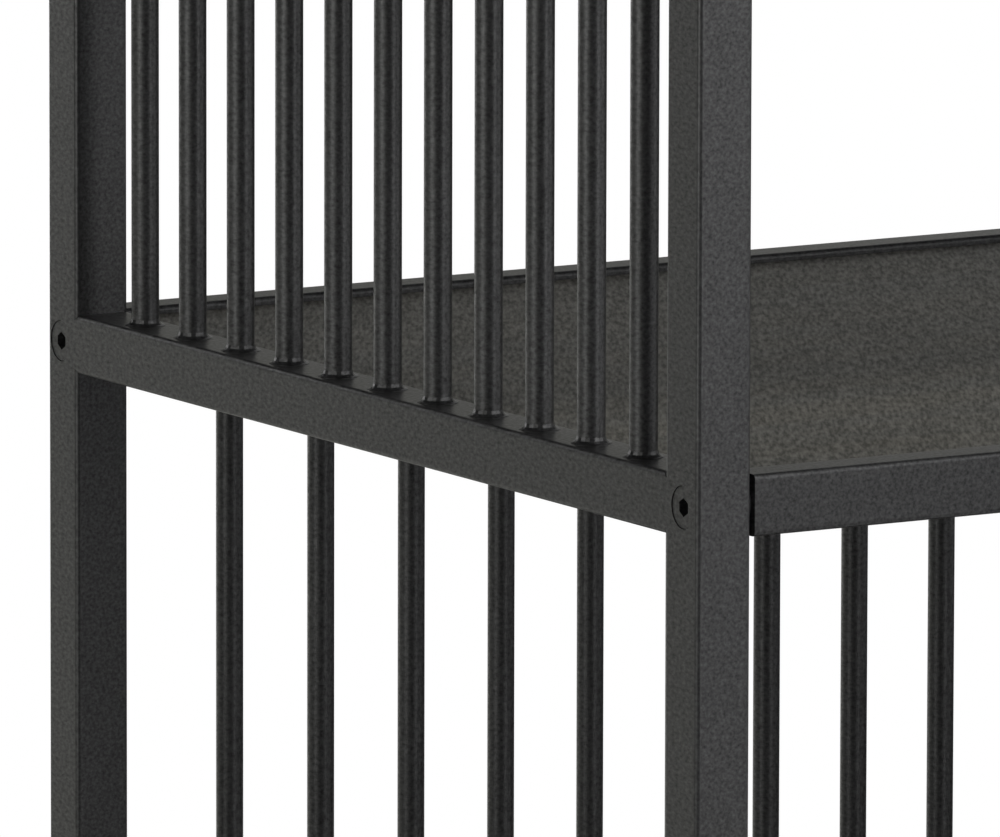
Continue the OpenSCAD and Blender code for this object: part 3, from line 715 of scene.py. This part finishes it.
def swept_card(name, turn, span, level, tint, profile):
    """A card that glows for gloss alone, swept round the crib from a profile.

    The profile's points are radius and height. The card starts at the turn and covers the span,
    both in degrees from the front towards the right end.
    """
    mesh = bpy.data.meshes.new(name)
    bm = bmesh.new()
    turn = math.radians(turn)
    ends = [bm.verts.new((r * math.sin(turn), -r * math.cos(turn), z)) for r, z in profile]
    line = [bm.edges.new(pair) for pair in zip(ends, ends[1:])]
    bmesh.ops.spin(
        bm, geom=ends + line, cent=(0, 0, 0), axis=(0, 0, 1), angle=math.radians(span),
        steps=max(FEWEST_STEPS, span // DEGREES_PER_STEP), use_merge=span == FULL_TURN,
    )
    bmesh.ops.remove_doubles(bm, verts=bm.verts, dist=DOUBLES)
    bm.to_mesh(mesh)
    bm.free()
    paint = new_material(name)
    paint.finish(paint.glow(level, tint))
    mesh.materials.append(paint.owner)
    card = bpy.data.objects.new(name, mesh)
    bpy.context.scene.collection.objects.link(card)
    card.visible_camera = card.visible_diffuse = False
    card.visible_shadow = card.visible_transmission = False
    card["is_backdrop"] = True


class CRIB_OT_set_stage(bpy.types.Operator):
    """Lays the pale floor and sets the lights, the cards and the camera"""
    bl_idname = "crib.set_stage"
    bl_label = "Set Stage"

    def execute(self, context):
        scene, stage = context.scene, context.scene.crib_stage
        low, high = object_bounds()
        self.lay_floor(low, high)
        self.light_room(scene, stage)
        self.hang_lamps(stage)
        self.hang_cards(stage)
        self.set_camera(scene, stage)
        scene.view_settings.view_transform = "Standard"
        return {"FINISHED"}

    def lay_floor(self, low, high):
        """A floor that keeps the crib's shadow and turns white away from it."""
        mesh = bpy.data.meshes.new("studio_floor")
        bm = bmesh.new()
        bmesh.ops.create_circle(bm, cap_ends=True, segments=FLOOR_SIDES, radius=FLOOR_RADIUS)
        bmesh.ops.translate(bm, vec=(0, 0, low.z - FLOOR_GAP), verts=bm.verts)
        bm.to_mesh(mesh)
        bm.free()
        floor = bpy.data.objects.new("studio_floor", mesh)
        bpy.context.scene.collection.objects.link(floor)
        paint = new_material("studio floor")
        x, y = (paint.part(paint.place(), axis) for axis in "XY")
        across = (x.size() - (high.x - low.x) / 2).most(0.0)
        along = (y.size() - (high.y - low.y) / 2).most(0.0)
        away = ((across * across + along * along) ** 0.5).step(SHADOW_START, SHADOW_END)
        pale = paint.node("ShaderNodeBsdfDiffuse", {}, {"Color": FLOOR_COLOUR})
        white = paint.glow(1.0)
        seen = away * paint.backdrop_rays()
        paint.finish(paint.node("ShaderNodeMixShader", {}, {0: seen, 1: pale, 2: white}))
        mesh.materials.append(paint.owner)
        floor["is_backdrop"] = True

    def light_room(self, scene, stage):
        """A white world for what the camera, gloss and glass see, and a faint one for the rest."""
        world = bpy.data.worlds.new("studio")
        scene.world = world
        paint = Paint(world)
        level = paint.backdrop_rays() * (1 - stage.room_light) + stage.room_light
        paint.finish(paint.node("ShaderNodeBackground", {}, {"Color": PLAIN, "Strength": level}))

    def hang_lamps(self, stage):
        """Softboxes round the crib; turns are in degrees from the front towards the right end."""
        for name, power, turn, reach, height, width, tall in (
            ("left softbox", stage.left_light, -82, 4.0, 1.3, 1.4, 2.2),
            ("back softbox", stage.back_light, -170, 4.0, 0.95, 1.6, 1.7),
            ("front softbox", stage.front_light, 8, 4.0, 1.3, 0.9, 2.4),
            ("right softbox", stage.right_light, 51, 4.0, 1.3, 1.3, 2.4),
            ("high softbox", stage.high_light, -5, 2.8, 3.4, 1.2, 1.0),
            ("high back softbox", stage.high_back_light, 180, 2.8, 3.4, 1.2, 1.0),
        ):
            turn = math.radians(turn)
            place = (reach * math.sin(turn), -reach * math.cos(turn), height)
            softbox(name, place, LIGHT_AIM, width, tall, power)

    def hang_cards(self, stage):
        """Dark cloth all round and the pale cards in it, which only the gloss of the paint sees."""
        reach, height = stage.cloth_reach, stage.cloth_height
        swept_card(
            "dark_cloth", 0, FULL_TURN, CLOTH_GLOW, PLAIN,
            [(CLOTH_HOLE, CLOTH_LIFT), (reach, CLOTH_LIFT), (reach, height), (0.0, height)],
        )
        inside, top = reach - CARD_INSET, height - CARD_DROP
        near_floor = [(NEAR_RADIUS, CARD_LIFT), (MID_RADIUS, CARD_LIFT)]
        far_floor = [(MID_RADIUS, CARD_LIFT), (inside, CARD_LIFT)]
        whole_floor = [(NEAR_RADIUS, CARD_LIFT), (inside, CARD_LIFT)]
        low_wall = [(inside, WALL_FOOT), (inside, MID_HEIGHT)]
        high_wall = [(inside, MID_HEIGHT), (inside, top)]
        sweep = [(MID_RADIUS, SWEEP_LIFT), (inside, SWEEP_LIFT), (inside, top)]
        for name, turn, span, level, tint, profile in (
            ("behind_floor_card", -180, 90, 0.53, WARM, whole_floor),
            ("left_sweep_card", -90, 30, 1.0, WARM, sweep),
            ("front_near_card", -30, 30, 0.55, PLAIN, near_floor),
            ("front_floor_card", 0, 30, 1.0, COOL, far_floor),
            ("front_high_card", 0, 60, 1.0, COOL, high_wall),
            ("right_near_card", 60, 60, 0.97, COOL, near_floor),
            ("right_low_card", 60, 30, 0.5, PLAIN, low_wall),
            ("behind_right_card", 120, 30, 0.42, PLAIN, high_wall),
            ("behind_low_card", 120, 60, 0.5, WARM, low_wall),
        ):
            swept_card(name, turn, span, level, tint, profile)

    def set_camera(self, scene, stage):
        """A camera that looks along its yaw and tilt, then turns by its roll."""
        yaw, tilt, roll = stage.camera_yaw, stage.camera_tilt, stage.camera_roll
        level = math.cos(tilt)
        ahead = Vector((math.sin(yaw) * level, math.cos(yaw) * level, -math.sin(tilt)))
        right = Vector((math.cos(yaw), -math.sin(yaw), 0))
        up = right.cross(ahead)
        across = math.cos(roll) * right + math.sin(roll) * up
        above = -math.sin(roll) * right + math.cos(roll) * up
        turn = Matrix((across, above, -ahead)).transposed().to_4x4()
        data = bpy.data.cameras.new("studio camera")
        data.sensor_width, data.lens = SENSOR_WIDTH, stage.camera_lens
        data.clip_start, data.clip_end = NEAR_CLIP, FAR_CLIP
        camera = bpy.data.objects.new("studio camera", data)
        camera.matrix_world = Matrix.Translation(stage.camera_place) @ turn
        scene.collection.objects.link(camera)
        scene.camera = camera


OPERATORS = [
    CRIB_OT_coat_frame, CRIB_OT_fill_welds, CRIB_OT_weld_rods, CRIB_OT_coat_rods,
    CRIB_OT_coat_base, CRIB_OT_face_boards, CRIB_OT_finish_hardware, CRIB_OT_set_stage,
]
SETTINGS = {
    "crib_coat": CribCoatSettings, "crib_board": CribBoardSettings,
    "crib_hardware": CribHardwareSettings, "crib_stage": CribStageSettings,
}


class CRIB_PT_panel(bpy.types.Panel):
    """Lists the crib's settings and the steps that finish it"""
    bl_idname = "CRIB_PT_panel"
    bl_label = "Storage Crib"
    bl_space_type = "VIEW_3D"
    bl_region_type = "UI"
    bl_category = "Crib"

    def draw(self, context):
        for group in SETTINGS:
            box = self.layout.box()
            settings = getattr(context.scene, group)
            for name in settings.__annotations__:
                box.prop(settings, name)
        for operator in OPERATORS:
            self.layout.operator(operator.bl_idname)


def register():
    for group, kind in SETTINGS.items():
        bpy.utils.register_class(kind)
        setattr(bpy.types.Scene, group, PointerProperty(type=kind))
    for kind in OPERATORS + [CRIB_PT_panel]:
        bpy.utils.register_class(kind)


def unregister():
    for kind in reversed(OPERATORS + [CRIB_PT_panel]):
        bpy.utils.unregister_class(kind)
    for group, kind in SETTINGS.items():
        delattr(bpy.types.Scene, group)
        bpy.utils.unregister_class(kind)


def main():
    register()
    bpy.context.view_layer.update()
    for operator in OPERATORS:
        group, name = operator.bl_idname.split(".")
        getattr(getattr(bpy.ops, group), name)()


if __name__ == "__main__":
    main()
